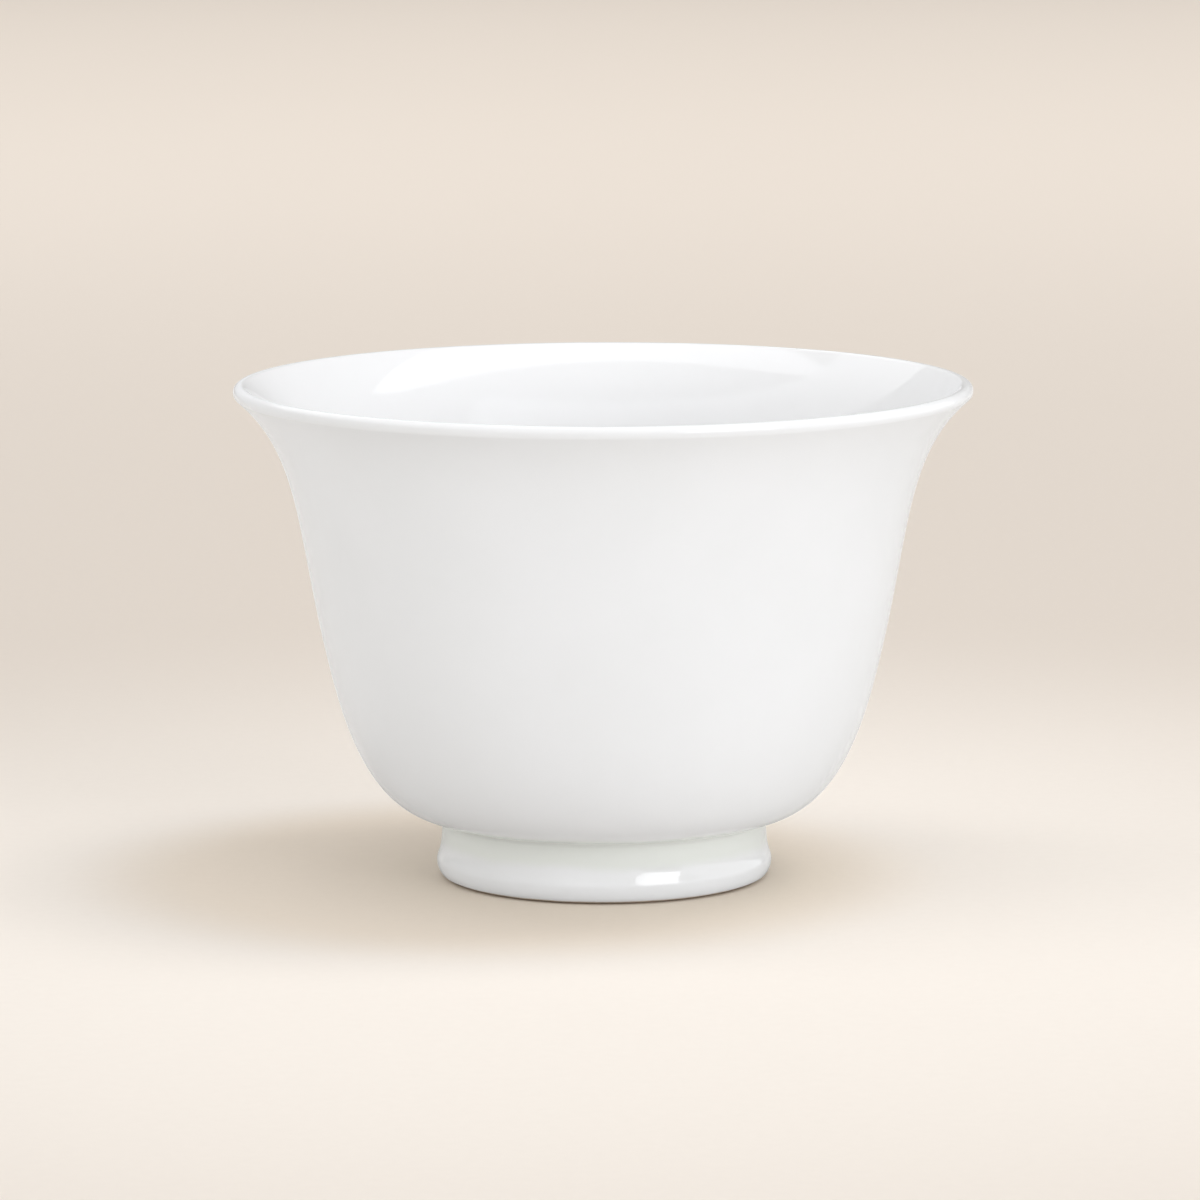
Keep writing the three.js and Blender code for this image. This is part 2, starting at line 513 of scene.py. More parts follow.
def glaze_flow() -> bpy.types.NodeTree:
    """How a fired glaze has flowed: long waves, fine peel, changes in its gloss, and specks.

    Returns:
        The group.
    """
    group = new_group(
        "glaze_flow",
        {"Wave Size": 9 * MM, "Peel Size": 1.1 * MM, "Speck Spacing": 12 * MM, "Speck Size": 0.012},
        ["Height", "Gloss", "Mottle", "Speck"],
    )
    wiring = Wiring(group)
    given = group.nodes["Group Input"].outputs
    made = group.nodes["Group Output"].inputs
    where = wiring.add("TexCoord").outputs["Object"]
    waves = wiring.noise(where, given["Wave Size"], 1.0)
    peel = wiring.noise(where, given["Peel Size"], 1.0)
    peel_share = 0.06
    wiring.feed(made["Height"], wiring.maths("MULTIPLY_ADD", peel, peel_share, waves))
    patch_edges = (0.3, 0.7)
    for label, patch_size in (("Gloss", 6 * MM), ("Mottle", 16 * MM)):
        patches = wiring.noise(where, patch_size, 3.0)
        wiring.feed(made[label], wiring.ramped(patches, *patch_edges))
    cells = wiring.add("TexVoronoi")
    wiring.feed(cells.inputs["Vector"], where)
    wiring.feed(cells.inputs["Scale"], wiring.maths("DIVIDE", 1.0, given["Speck Spacing"]))
    size = wiring.maths("MULTIPLY", given["Speck Size"], cells.outputs["Color"])
    core_share = 0.3
    core = wiring.maths("MULTIPLY", size, core_share)
    wiring.feed(made["Speck"], wiring.ramped(cells.outputs["Distance"], size, core))
    return group


def clay_grain() -> bpy.types.NodeTree:
    """The fine open grain of fired clay that no glaze covers.

    Returns:
        The group.
    """
    group = new_group("clay_grain", {"Grain Size": 0.12 * MM}, ["Height", "Tone"])
    wiring = Wiring(group)
    given = group.nodes["Group Input"].outputs
    made = group.nodes["Group Output"].inputs
    where = wiring.add("TexCoord").outputs["Object"]
    wiring.feed(made["Height"], wiring.noise(where, given["Grain Size"], 3.0))
    patch_size = 2.2 * MM
    patch_edges = (0.35, 0.7)
    wiring.feed(made["Tone"], wiring.ramped(wiring.noise(where, patch_size, 4.0), *patch_edges))
    return group


def band() -> bpy.types.NodeTree:
    """A soft band round the cup between two heights, where glaze has run, or where the bare edge is
    browned and darkened as painted contact shade.

    Returns:
        The group.
    """
    group = new_group(
        "band",
        {"Low": 0.0, "High": 5 * MM, "Softness": 1.5 * MM, "Drift": 0.8 * MM},
        ["Mask"],
    )
    wiring = Wiring(group)
    given = group.nodes["Group Input"].outputs
    made = group.nodes["Group Output"].inputs
    where = wiring.add("TexCoord").outputs["Object"]
    level = wiring.result("SeparateXYZ", "Z", {0: where})
    sway_size = 8 * MM
    sway = wiring.spread(wiring.noise(where, sway_size), -1.0, 1.0)
    height = wiring.maths("MULTIPLY_ADD", sway, given["Drift"], level)
    above = wiring.maths("ADD", given["Low"], given["Softness"])
    below = wiring.maths("SUBTRACT", given["High"], given["Softness"])
    rise = wiring.ramped(height, given["Low"], above)
    fall = wiring.ramped(height, given["High"], below)
    wiring.feed(made["Mask"], wiring.maths("MULTIPLY", rise, fall))
    return group


@dataclass
class NodeGroups:
    """The shared effects, each built once."""

    glaze_flow: bpy.types.NodeTree = field(default_factory=glaze_flow)
    clay_grain: bpy.types.NodeTree = field(default_factory=clay_grain)
    band: bpy.types.NodeTree = field(default_factory=band)


def start_material(name: str) -> tuple[bpy.types.Material, Wiring, bpy.types.Node]:
    """A new material.

    Args:
        name: the material's name.

    Returns:
        The material, the wiring of its nodes, and its shader.
    """
    material = bpy.data.materials.new(name)
    material.use_nodes = True
    shader = material.node_tree.nodes["Principled BSDF"]
    return material, Wiring(material.node_tree), shader


def use_group(wiring: Wiring, group: bpy.types.NodeTree, **values: float) -> bpy.types.Node:
    """Places a shared group in a material.

    Args:
        wiring: the material's wiring.
        group: the group.
        values: its inputs, by name with underscores for spaces.

    Returns:
        The group's node.
    """
    node = wiring.add("Group", node_tree=group)
    for name, value in values.items():
        node.inputs[name.replace("_", " ")].default_value = value
    return node


@dataclass(frozen=True)
class GlazeFinish:
    """Clear gloss glaze over white porcelain, deeper in colour where it has run together."""

    name: str
    white: Colour
    mottled: Colour
    pooled: Colour
    pool_low: float
    pool_high: float
    pool_softness: float
    gloss: tuple[float, float] = (0.045, 0.075)
    wave_height: float = 0.012 * MM
    speck: Colour = (0.42, 0.38, 0.33)
    refraction: float = 1.5

    def material(self, groups: NodeGroups) -> bpy.types.Material:
        """Makes the material.

        Args:
            groups: the shared effects.

        Returns:
            The material.
        """
        material, wiring, shader = start_material(self.name)
        flow = use_group(wiring, groups.glaze_flow)
        pool = use_group(
            wiring,
            groups.band,
            Low=self.pool_low * MM,
            High=self.pool_high * MM,
            Softness=self.pool_softness * MM,
        )
        body = wiring.blended(flow.outputs["Mottle"], rgba(self.white), rgba(self.mottled))
        deep = wiring.blended(pool.outputs["Mask"], body, rgba(self.pooled))
        speckled = wiring.blended(flow.outputs["Speck"], deep, rgba(self.speck))
        wiring.feed(shader.inputs["Base Color"], speckled)
        wiring.feed(shader.inputs["Roughness"], wiring.spread(flow.outputs["Gloss"], *self.gloss))
        wiring.raise_surface(shader, flow.outputs["Height"], self.wave_height)
        shader.inputs["IOR"].default_value = self.refraction
        return material


@dataclass(frozen=True)
class ClayFinish:
    """Fired clay without glaze: matt, with a fine grain, and browned along the standing edge, where
    it is also darkened as painted contact shade.
    """

    name: str
    pale: Colour
    toasted: Colour
    grain_size: float
    grain_height: float = 0.01 * MM
    roughness: tuple[float, float] = (0.7, 0.95)
    # This colour and its band paint the bare standing edge dark: real browning, and painted contact
    # shade where the cup meets the floor.
    brown_and_contact_shade: Colour = (0.36, 0.26, 0.18)
    brown_and_contact_shade_low: float = -0.15
    brown_and_contact_shade_high: float = 0.27
    brown_and_contact_shade_softness: float = 0.1
    brown_and_contact_shade_drift: float = 0.03

    def material(self, groups: NodeGroups) -> bpy.types.Material:
        """Makes the material.

        Args:
            groups: the shared effects.

        Returns:
            The material.
        """
        material, wiring, shader = start_material(self.name)
        grain = use_group(wiring, groups.clay_grain, Grain_Size=self.grain_size * MM)
        brown_and_contact_shade_band = use_group(
            wiring,
            groups.band,
            Low=self.brown_and_contact_shade_low * MM,
            High=self.brown_and_contact_shade_high * MM,
            Softness=self.brown_and_contact_shade_softness * MM,
            Drift=self.brown_and_contact_shade_drift * MM,
        )
        body = wiring.blended(grain.outputs["Tone"], rgba(self.pale), rgba(self.toasted))
        # Painted contact shade, over real browning, along the standing edge.
        colour = wiring.blended(brown_and_contact_shade_band.outputs["Mask"], body, rgba(self.brown_and_contact_shade))
        wiring.feed(shader.inputs["Base Color"], colour)
        roughness = wiring.spread(grain.outputs["Height"], *self.roughness)
        wiring.feed(shader.inputs["Roughness"], roughness)
        wiring.raise_surface(shader, grain.outputs["Height"], self.grain_height)
        return material


BISCUIT = ClayFinish(
    name="fired_biscuit",
    pale=(0.86, 0.83, 0.77),
    toasted=(0.78, 0.71, 0.61),
    grain_size=0.14,
)
LUTING_SLIP = ClayFinish(
    name="fired_slip",
    pale=(0.82, 0.78, 0.71),
    toasted=(0.76, 0.69, 0.59),
    grain_size=0.08,
)
OUTSIDE_GLAZE = GlazeFinish(
    name="clear_glaze_outside",
    white=(0.896, 0.901, 0.908),
    mottled=(0.882, 0.888, 0.893),
    pooled=(0.84, 0.86, 0.82),
    pool_low=3.6,
    pool_high=9.0,
    pool_softness=1.5,
)
# Its white and mottle are set darker than the outside glaze's: painted shade inside the bowl.
INSIDE_GLAZE_PAINTED_SHADE = GlazeFinish(
    name="clear_glaze_inside",
    white=(0.867, 0.869, 0.874),
    mottled=(0.854, 0.856, 0.861),
    pooled=(0.84, 0.85, 0.85),
    pool_low=6.0,
    pool_high=17.0,
    pool_softness=4.0,
)
BASE_GLAZE = GlazeFinish(
    name="clear_glaze_base",
    white=(0.875, 0.885, 0.868),
    mottled=(0.86, 0.872, 0.85),
    pooled=(0.79, 0.825, 0.775),
    pool_low=4.2,
    pool_high=6.75,
    pool_softness=1.0,
    gloss=(0.06, 0.12),
    wave_height=0.02 * MM,
)


# The cup


@dataclass(frozen=True)
class GlazeCoat:
    """How the glaze lies on the clay."""

    thickness: float = 0.25
    fused_gap: float = 0.03
    line_height: float = 0.45
    pool_radius: float = 1.2

    @property
    def depth(self) -> float:
        """How deep the clay lies under the face of the glaze."""
        return self.thickness + self.fused_gap


@dataclass(frozen=True)
class Neck:
    """Where the bowl's underside meets the foot, over the glaze."""

    diameter: float = 38.9
    height: float = 7.45
    fillet: float = 0.8
    joint_height: float = 7.05

    @property
    def start(self) -> Vector:
        """The foot of the fillet, where the neck is narrowest."""
        return at(self.diameter / 2, self.height - self.fillet)


@dataclass
class Bowl:
    """The fired wall and floor of the cup, with its sizes measured over the glaze."""

    neck: Neck
    coat: GlazeCoat
    rim_diameter: float = 88
    cup_height: float = 59.5
    lip_thickness: float = 1.7
    lip_flare_deg: float = 49
    wall_diameter: float = 66.4
    wall_height: float = 27.1
    wall_taper_deg: float = 13
    wall_thickness: float = 2.3
    underside_slope_deg: float = 5
    belly_pulls: tuple[float, float] = (8.5, 7.2)
    flare_pulls: tuple[float, float] = (15.5, 10.1)
    mouth_pulls: tuple[float, float] = (11, 16)
    well_pulls: tuple[float, float] = (12, 14.5)
    floor_thickness: float = 4
    floor_diameter: float = 26
    floor_dish: float = 0.35

    @property
    def lip_radius(self) -> float:
        """The radius of the lip's round edge."""
        return self.lip_thickness / 2

    @property
    def lip_centre(self) -> Vector:
        """The middle of the lip's round edge."""
        return at(self.rim_diameter / 2 - self.lip_radius, self.cup_height - self.lip_radius)

    @property
    def wall(self) -> Station:
        """Where the belly's curve hands over to the flare's curve."""
        way = leaning(self.wall_taper_deg)
        return Station(at(self.wall_diameter / 2, self.wall_height), Vector((way.y, -way.x)))

    @property
    def floor_height(self) -> float:
        """The height of the floor's edge inside."""
        return self.neck.joint_height + self.floor_thickness

    def outside(self) -> Run:
        """The outside over its glaze.

        Returns:
            The run from the neck up to the crest of the lip.
        """
        radius = self.neck.fillet
        fillet_centre = self.neck.start + radius * OUTWARD
        fillet = Round(fillet_centre, radius, radius, 180, 90 + self.underside_slope_deg)
        lip = Round(self.lip_centre, self.lip_radius, self.lip_radius, -self.lip_flare_deg, 90)
        wall = self.wall
        belly = Sweep(
            fillet.point(1), fillet.heading(1), wall.spot, wall.heading, self.belly_pulls
        )
        flare = Sweep(wall.spot, wall.heading, lip.point(0), lip.heading(0), self.flare_pulls)
        return chained(
            stations(fillet, turn_deg=6),
            stations(belly),
            stations(flare),
            stations(lip, turn_deg=5),
        )

    def inside(self) -> Run:
        """The inside over its glaze.

        Returns:
            The run from the crest of the lip down to the middle of the floor.
        """
        radius = self.lip_radius
        lip = Round(self.lip_centre, radius, radius, 90, 180 - self.lip_flare_deg)
        wall = self.wall.sunk(self.wall_thickness)
        floor_edge = at(self.floor_diameter / 2, self.floor_height)
        floor_middle = at(0, self.floor_height - self.floor_dish)
        dish_pull = floor_edge.x / 2
        mouth = Sweep(lip.point(1), lip.heading(1), wall.spot, -wall.heading, self.mouth_pulls)
        well = Sweep(wall.spot, -wall.heading, floor_edge, INWARD, self.well_pulls)
        dish = Sweep(floor_edge, INWARD, floor_middle, INWARD, (dish_pull, dish_pull))
        return chained(stations(lip, turn_deg=5), stations(mouth), stations(well), stations(dish))

    def build(self) -> bpy.types.Object:
        """Makes the fired bowl under its glaze.

        Returns:
            The bowl.
        """
        clay = on_from(sunk(self.outside(), self.coat.depth), self.neck.joint_height)
        seat = flat(at(0, self.neck.joint_height), clay[0].spot)
        shell = chained(clay, sunk(self.inside(), self.coat.depth))
        return TurnedPiece("fired_bowl", [seat, shell]).build()

    def dress(self, groups: NodeGroups) -> None:
        """Builds the bowl and gives it its finish."""
        place(self.build(), "bowl", BISCUIT.material(groups))


@dataclass
class Foot:
    """The ring that the cup stands on, and the slip that joins it to the bowl."""

    neck: Neck
    coat: GlazeCoat
    diameter: float = 40.2
    swell_height: float = 2
    cove_pulls: tuple[float, float] = (0.9, 3.8)
    standing_outer_diameter: float = 37.3
    standing_inner_diameter: float = 34.4
    bore_diameter: float = 32.4
    bore_round_height: float = 1.3
    bore_draft_deg: float = 4
    slip_thickness: float = 0.3
    edge_pull: float = 0.35

    @property
    def ring_top(self) -> float:
        """The height of the ring's top, under the slip."""
        return self.neck.joint_height - self.slip_thickness

    def line_angle(self, round_height: float) -> float:
        """How far below the outward direction a round reaches the glaze line, in degrees."""
        return math.degrees(math.asin(1 - self.coat.line_height / round_height))

    def outside(self) -> Run:
        """The outside over its glaze.

        Returns:
            The run from the glaze line up to the neck.
        """
        standing = self.standing_outer_diameter / 2
        heel = Round(
            at(standing, self.swell_height),
            self.diameter / 2 - standing,
            self.swell_height,
            -self.line_angle(self.swell_height),
            0,
        )
        cove = Sweep(heel.point(1), UP, self.neck.start, UP, self.cove_pulls)
        return chained(stations(heel, turn_deg=4), stations(cove, step=0.4))

    def bore(self) -> Run:
        """The bore over its glaze.

        Returns:
            The run from above the joint down to the glaze line.
        """
        standing = self.standing_inner_diameter / 2
        wall = at(self.bore_diameter / 2, self.bore_round_height)
        climb = leaning(-self.bore_draft_deg)
        top = wall + climb * ((self.neck.height - wall.y) / climb.y)
        heel = Round(
            at(standing, self.bore_round_height),
            standing - wall.x,
            self.bore_round_height,
            180,
            180 + self.line_angle(self.bore_round_height),
        )
        return chained(stations(Line(top, wall), step=0.4), stations(heel, turn_deg=4))

    def build_ring(self, skin: Run) -> bpy.types.Object:
        """Makes the fired ring, with a bare edge rolled softly into the flat that it stands on.

        Args:
            skin: the whole outside over its glaze, from the glaze line up.

        Returns:
            The ring.
        """
        inner = at(self.standing_inner_diameter / 2, 0)
        outer = at(self.standing_outer_diameter / 2, 0)
        wall = up_to(sunk(skin, self.coat.depth), self.ring_top)
        bore = on_from(sunk(self.bore(), self.coat.depth), self.ring_top)
        pulls = (self.edge_pull, self.edge_pull)
        rolled_out = Sweep(outer, OUTWARD, wall[0].spot, wall[0].heading, pulls)
        rolled_in = Sweep(bore[-1].spot, bore[-1].heading, inner, OUTWARD, pulls)
        around = chained(
            bore,
            stations(rolled_in, turn_deg=6, step=0.15),
            stations(Line(inner, outer), step=0.3),
            stations(rolled_out, turn_deg=6, step=0.15),
            wall,
        )
        return TurnedPiece("fired_foot", [around, flat(wall[-1].spot, bore[0].spot)]).build()

    def build_slip(self, skin: Run) -> bpy.types.Object:
        """Makes the film of slip between the ring and the bowl's seat.

        Args:
            skin: the whole outside over its glaze, from the glaze line up.

        Returns:
            The film.
        """
        joint = self.neck.joint_height
        outer = on_from(up_to(sunk(skin, self.coat.depth), joint), self.ring_top)
        inner = up_to(on_from(sunk(self.bore(), self.coat.depth), joint), self.ring_top)
        top = flat(outer[-1].spot, inner[0].spot)
        under = flat(inner[-1].spot, outer[0].spot)
        return TurnedPiece("slip_film", [outer, top, inner, under]).build()

    def dress(self, bowl: Bowl, groups: NodeGroups) -> None:
        """Builds the ring and its slip and gives them their finishes.

        Args:
            bowl: the bowl that the ring carries.
            groups: the shared effects.
        """
        skin = chained(self.outside(), bowl.outside())
        biscuit = bpy.data.materials[BISCUIT.name]
        place(self.build_ring(skin), "foot_ring", biscuit)
        slip = LUTING_SLIP.material(groups)
        place(self.build_slip(skin), "slip_joint", slip)


@dataclass
class Glazing:
    """The three coats of glaze, each a thin closed shell on the clay."""

    bowl: Bowl
    foot: Foot
    coat: GlazeCoat

    def beaded(self, shown: Run) -> Run:
        """A coat's round edge at the glaze line.

        Args:
            shown: the coat's face, which starts at the glaze line.

        Returns:
            The edge, from the coat's buried side round to its face.
        """
        first = shown[0]
        radius = self.coat.thickness / 2
        middle = first.spot - radius * first.out
        run = []
        point_count = 13
        for angle in np.linspace(0, math.pi, point_count).tolist():
            out = -math.cos(angle) * first.out - math.sin(angle) * first.heading
            run.append(Station(middle + radius * out, out))
        return run

    def build_outside(self) -> bpy.types.Object:
        """Makes the coat from the glaze line on the foot up to the crest of the lip.

        Returns:
            The coat.
        """
        shown = guarded(chained(self.foot.outside(), self.bowl.outside()))
        buried = backwards(sunk(shown, self.coat.thickness))
        around = chained(buried, self.beaded(shown), shown)
        crest = flat(shown[-1].spot, buried[0].spot)
        return TurnedPiece("glaze_outside", [around, crest]).build()

    def build_inside(self) -> bpy.types.Object:
        """Makes the lining from the crest of the lip down over the floor.

        Returns:
            The lining.
        """
        shown = guarded(self.bowl.inside())
        buried = backwards(sunk(shown, self.coat.thickness))
        crest = flat(buried[-1].spot, shown[0].spot)
        return TurnedPiece("glaze_inside", [buried, crest, shown]).build()

    def build_base(self) -> bpy.types.Object:
        """Makes the coat inside the foot, pooled in the corner between the bore and the base.

        Returns:
            The coat.
        """
        coat = self.coat
        base_height = self.bowl.neck.joint_height - coat.depth
        bore = self.foot.bore()
        wall = on_from(bore, base_height - coat.pool_radius)
        pool_start = at(wall[0].spot.x - coat.pool_radius, base_height)
        quarter_round_share = 0.55
        quarter_pull = quarter_round_share * coat.pool_radius
        pulls = (quarter_pull, quarter_pull)
        pool = Sweep(pool_start, OUTWARD, wall[0].spot, wall[0].heading, pulls)
        base = stations(Line(at(0, base_height), pool_start), step=1.5)
        shown = chained(base, stations(pool, turn_deg=6, step=0.2), wall)
        buried_wall = backwards(sunk(bore, coat.thickness))
        base_top = self.bowl.neck.joint_height - coat.fused_gap
        buried = up_to(buried_wall, base_top)
        bead = backwards(self.beaded(backwards(shown)))
        around = chained(shown, bead, buried)
        back = flat(buried[-1].spot, at(0, base_top))
        return TurnedPiece("glaze_base", [around, back]).build()

    def dress(self, groups: NodeGroups) -> None:
        """Builds the coats and gives them their finishes.

        Args:
            groups: the shared effects.
        """
        outside = OUTSIDE_GLAZE.material(groups)
        inside = INSIDE_GLAZE_PAINTED_SHADE.material(groups)
        base = BASE_GLAZE.material(groups)
        place(self.build_outside(), "outside_glaze", outside)
        place(self.build_inside(), "inside_glaze", inside)
        place(self.build_base(), "base_glaze", base)


# The studio


@dataclass(frozen=True)
class Softbox:
    """A soft panel of light that hangs round the cup, in metres, and that no gloss mirrors."""

    name: str
    bearing_deg: tuple[float, float]
    width: float
    height: float
    glow: float
    distance: float = 1.3
    tint: Colour = WHITE_LIGHT
    aim: Vector = CUP_MIDDLE
    spread_deg: float = 180

    def build(self) -> None:
        """Makes the light, unseen by the camera itself."""
        light = bpy.data.lights.new(self.name, "AREA")
        light.shape = "RECTANGLE"
        light.size = self.width
        light.size_y = self.height
        light.energy = math.pi * self.width * self.height * self.glow
        light.color = self.tint
        light.spread = math.radians(self.spread_deg)
        lamp = bpy.data.objects.new(self.name, light)
        lamp.location = CUP_MIDDLE + self.distance * bearing(*self.bearing_deg)
        lamp.rotation_euler = (self.aim - lamp.location).to_track_quat("-Z", "Y").to_euler()
        lamp.visible_camera = False
        lamp.visible_glossy = False
        bpy.context.scene.collection.objects.link(lamp)


def bearing(azimuth_deg: float, elevation_deg: float) -> Vector:
    """The direction from the cup to a light.

    Args:
        azimuth_deg: how far the light stands to the right of the camera.
        elevation_deg: how high it stands over the floor.

    Returns:
        The direction, of length 1.
    """
    turn, lift = math.radians(azimuth_deg), math.radians(elevation_deg)
    level = math.cos(lift)
    return Vector((level * math.sin(turn), -level * math.cos(turn), math.sin(lift)))


def hang(
    name: str, corners: list[Vector], faces: list[list[int]], glow: float
) -> bpy.types.Object:
    """Hangs a glowing sheet in the studio, unseen by the camera itself.

    Args:
        name: the sheet's name.
        corners: its corners, in metres.
        faces: the corners of each of its faces.
        glow: how brightly it glows.

    Returns:
        The sheet.
    """
    mesh = bpy.data.meshes.new(name)
    mesh.from_pydata(corners, [], faces)
    material, _, shader = start_material(name + "_glow")
    shader.inputs["Base Color"].default_value = rgba((0.0, 0.0, 0.0))
    shader.inputs["Specular IOR Level"].default_value = 0.0
    shader.inputs["Emission Color"].default_value = rgba(SHEET_LIGHT)
    shader.inputs["Emission Strength"].default_value = glow
    mesh.materials.append(material)
    sheet = bpy.data.objects.new(name, mesh)
    sheet.visible_camera = False
    bpy.context.scene.collection.objects.link(sheet)
    return sheet


def mirror_only(sheet: bpy.types.Object) -> None:
    """Leaves a sheet to be seen in gloss, without lighting anything or casting a shadow."""
    sheet.visible_diffuse = False
    sheet.visible_shadow = False


@dataclass(frozen=True)
class Canopy:
    """A glowing sheet stretched level over the cup, round in front and bowed in at the back."""

    name: str
    middle: Vector
    half_width: float
    reach: float
    bow: float
    glow: float
    corner_count: int = 128

    def build(self) -> None:
        """Hangs the sheet."""
        corners = []
        for angle in np.linspace(0, 2 * math.pi, self.corner_count, endpoint=False).tolist():
            across = self.half_width * math.cos(angle)
            depth = math.sin(angle)
            forward = self.reach * depth if depth > 0 else self.bow * depth * depth
            corners.append(self.middle + Vector((across, -forward, 0)))
        hang(self.name, corners, [list(range(len(corners)))], self.glow)


@dataclass(frozen=True)
class Scrim:
    """A glowing sheet that stands curved round the cup, to be seen only in its gloss."""

    name: str
    azimuths_deg: tuple[float, float]
    elevations_deg: tuple[float, float]
    glow: float
    distance: float = 1.3
    post_count: int = 25

    def build(self) -> None:
        """Hangs the sheet."""
        corners = []
        for azimuth in np.linspace(*self.azimuths_deg, self.post_count).tolist():
            for elevation in self.elevations_deg:
                corners.append(CUP_MIDDLE + self.distance * bearing(azimuth, elevation))
        faces = [[k, k + 1, k + 3, k + 2] for k in range(0, len(corners) - 2, 2)]
        mirror_only(hang(self.name, corners, faces, self.glow))


@dataclass(frozen=True)
class Pane:
    """A glowing flat pane, to be seen only in the cup's gloss."""

    name: str
    corners_deg: tuple[tuple[float, float], ...]
    glow: float
    distance: float = 1.2

    def build(self) -> None:
        """Hangs the pane with its corners at their azimuths and elevations."""
        corners = [CUP_MIDDLE + self.distance * bearing(*corner) for corner in self.corners_deg]
        mirror_only(hang(self.name, corners, [list(range(len(corners)))], self.glow))


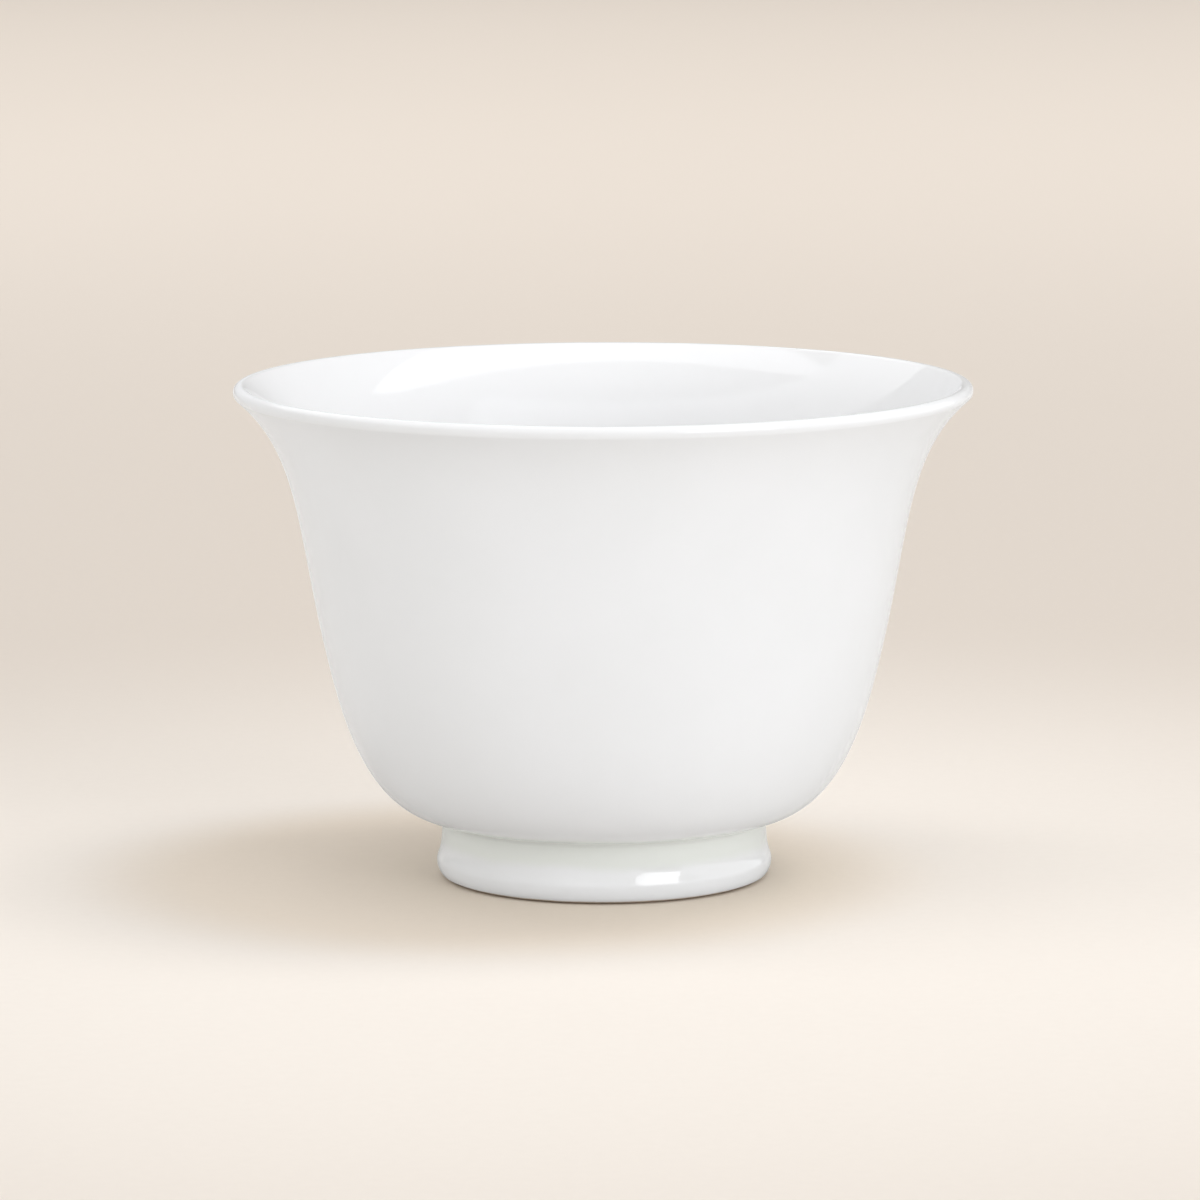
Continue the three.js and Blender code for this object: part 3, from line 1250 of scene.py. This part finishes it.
@dataclass
class Studio:
    """The pale floor, the soft light and the camera."""

    floor_radius: float = 4.0
    floor_hole: float = 18.5 * MM
    floor_drop: float = 0.02 * MM
    # The near colour is a painted pool of light round the cup, fading out to the far colour.
    painted_light_pool: Colour = (0.878, 0.818, 0.75)
    floor_past_light_pool: Colour = (0.715, 0.644, 0.573)
    # The core colour is painted warm shade on the floor round the foot.
    painted_foot_shade: Colour = (0.875, 0.777, 0.664)
    floor_bounce: Colour = (0.75, 0.73, 0.705)
    floor_fleck: Colour = (0.35, 0.3, 0.25)
    fleck_size: float = 1.5 * MM
    fleck_share: float = 0.05
    floor_roughness: float = 0.9
    floor_shine: float = 0.1
    floor_sides: int = 96
    # Where the painted pool of light lies, and how far out it fades.
    light_pool_centre: tuple[float, float, float] = (0.0, -0.03, 0.0)
    light_pool_edge: tuple[float, float] = (0.06, 0.24)
    # Where the painted shade round the foot lies, and how far out it fades.
    foot_shade_centre: tuple[float, float, float] = (-0.012, 0.0, 0.0)
    foot_shade_edge: tuple[float, float] = (0.036, 0.056)
    sky_colour: Colour = (1.0, 0.985, 0.965)
    sky_strength: float = 0.51
    camera_place: tuple[float, float, float] = (-0.43 * MM, -753.85 * MM, 147.46 * MM)
    camera_pitch_deg: float = 8.614
    camera_roll_deg: float = -0.146
    lens: float = 191.23
    sensor_width: float = 36
    clip_end: float = 50
    sheets: tuple[Canopy | Scrim | Pane, ...] = (
        Canopy(
            "overhead_canopy",
            middle=Vector((0.235, 0.706, 1.6)),
            half_width=1.57,
            reach=1.0,
            bow=0.25,
            glow=1.95,
        ),
        Scrim("left_scrim", azimuths_deg=(-178, -34), elevations_deg=(3, 28), glow=0.8),
        Scrim("front_scrim", azimuths_deg=(-34, 24.5), elevations_deg=(3, 28), glow=1.5),
        Pane(
            "window_pane",
            corners_deg=((22.8, 16), (27.5, 8), (54.5, 8), (54.5, 30), (33, 30), (22, 24.5)),
            glow=6.0,
        ),
        Scrim("right_scrim", azimuths_deg=(54.5, 138), elevations_deg=(1, 19), glow=1.65),
        Scrim("high_front_scrim", azimuths_deg=(-60, 60), elevations_deg=(32, 50), glow=1.5),
        Scrim("high_left_scrim", azimuths_deg=(-178, -60), elevations_deg=(28, 50), glow=1.5),
    )
    softboxes: tuple[Softbox, ...] = (
        Softbox("key_softbox", bearing_deg=(105, 70), width=0.5, height=0.5, glow=4.05),
        Softbox(
            "front_right_softbox",
            bearing_deg=(39.5, 19),
            width=0.67,
            height=0.47,
            glow=2.95,
            distance=1.2,
            tint=COOL_LIGHT,
        ),
        Softbox("left_softbox", bearing_deg=(-80, 20), width=1.1, height=0.5, glow=2.08),
        Softbox(
            "front_softbox",
            bearing_deg=(30, 6),
            width=0.8,
            height=0.2,
            glow=4.4,
            tint=COOL_LIGHT,
        ),
        Softbox("right_softbox", bearing_deg=(62, 42), width=0.6, height=0.6, glow=0.85),
        Softbox(
            "backdrop_softbox",
            bearing_deg=(180, 33),
            width=3.0,
            height=1.6,
            glow=0.5,
            distance=1.79,
            aim=Vector((0.0, 1.5, 0.0)),
            spread_deg=80,
        ),
    )

    def build_floor(self) -> None:
        """Makes a wide paper floor, clear from below and cut away under the hollow of the foot."""
        corners = []
        for angle in np.linspace(0, 2 * math.pi, self.floor_sides, endpoint=False).tolist():
            for radius in (self.floor_hole, self.floor_radius):
                spot = (radius * math.cos(angle), radius * math.sin(angle), -self.floor_drop)
                corners.append(spot)
        count = len(corners)
        faces = [[k, k + 1, (k + 3) % count, (k + 2) % count] for k in range(0, count, 2)]
        mesh = bpy.data.meshes.new("paper_floor")
        mesh.from_pydata(corners, [], faces)
        floor = bpy.data.objects.new("paper_floor", mesh)
        bpy.context.scene.collection.objects.link(floor)
        mesh.materials.append(self.floor_material())

    def floor_material(self) -> bpy.types.Material:
        """Makes the matt paper of the floor, with a painted pool of light round the cup and painted
        shade round the foot.

        Returns:
            The material.
        """
        material, wiring, shader = start_material("floor_paper")
        where = wiring.add("TexCoord").outputs["Object"]
        # A painted pool of light round the cup, darker farther off.
        past_light_pool_share = wiring.ramped(wiring.distance(where, self.light_pool_centre), *self.light_pool_edge)
        # Painted warm shade on the floor round the foot.
        past_foot_shade_share = wiring.ramped(wiring.distance(where, self.foot_shade_centre), *self.foot_shade_edge)
        floor_with_light_pool = wiring.blended(past_light_pool_share, rgba(self.painted_light_pool), rgba(self.floor_past_light_pool))
        colour = wiring.blended(past_foot_shade_share, rgba(self.painted_foot_shade), floor_with_light_pool)
        flecks = wiring.spread(wiring.noise(where, self.fleck_size, 4.0), 0.0, self.fleck_share)
        flecked = wiring.blended(flecks, colour, rgba(self.floor_fleck))
        seen = wiring.add("LightPath").outputs["Is Camera Ray"]
        shown = wiring.blended(seen, rgba(self.floor_bounce), flecked)
        wiring.feed(shader.inputs["Base Color"], shown)
        shader.inputs["Roughness"].default_value = self.floor_roughness
        shader.inputs["Specular IOR Level"].default_value = self.floor_shine
        from_below = wiring.add("NewGeometry").outputs["Backfacing"]
        clear = wiring.add("BsdfTransparent").outputs["BSDF"]
        sides = {"Fac": from_below, 1: shader.outputs["BSDF"], 2: clear}
        surface = material.node_tree.nodes["Material Output"].inputs["Surface"]
        wiring.feed(surface, wiring.result("MixShader", "Shader", sides))
        return material

    def build_sky(self) -> None:
        """Lights the whole room evenly."""
        world = bpy.data.worlds.new("studio_light")
        world.use_nodes = True
        background = world.node_tree.nodes["Background"]
        background.inputs["Color"].default_value = rgba(self.sky_colour)
        background.inputs["Strength"].default_value = self.sky_strength
        bpy.context.scene.world = world

    def build_camera(self) -> None:
        """Sets the camera at the photograph's viewing angle."""
        camera = bpy.data.cameras.new("camera")
        camera.sensor_width = self.sensor_width
        camera.lens = self.lens
        camera.clip_end = self.clip_end
        eye = bpy.data.objects.new("camera", camera)
        tilt = Matrix.Rotation(math.radians(90 - self.camera_pitch_deg), 4, "X")
        roll = Matrix.Rotation(math.radians(self.camera_roll_deg), 4, "Z")
        eye.matrix_world = Matrix.Translation(self.camera_place) @ tilt @ roll
        bpy.context.scene.collection.objects.link(eye)
        bpy.context.scene.camera = eye

    def build(self) -> None:
        """Makes everything round the cup, and keeps the picture's colours plain."""
        self.build_floor()
        self.build_sky()
        for light in (*self.sheets, *self.softboxes):
            light.build()
        self.build_camera()
        bpy.context.scene.view_settings.view_transform = "Standard"
        lights = len(self.sheets) + len(self.softboxes)
        LOG.info("studio: floor, %d lights, camera", lights)


def main() -> None:
    """Builds the cup piece by piece, then the studio round it."""
    logging.basicConfig(level=logging.INFO, format="%(name)s: %(message)s")
    groups = NodeGroups()
    coat = GlazeCoat()
    neck = Neck()
    bowl = Bowl(neck, coat)
    foot = Foot(neck, coat)
    bowl.dress(groups)
    foot.dress(bowl, groups)
    Glazing(bowl, foot, coat).dress(groups)
    Studio().build()


if __name__ == "__main__":
    main()
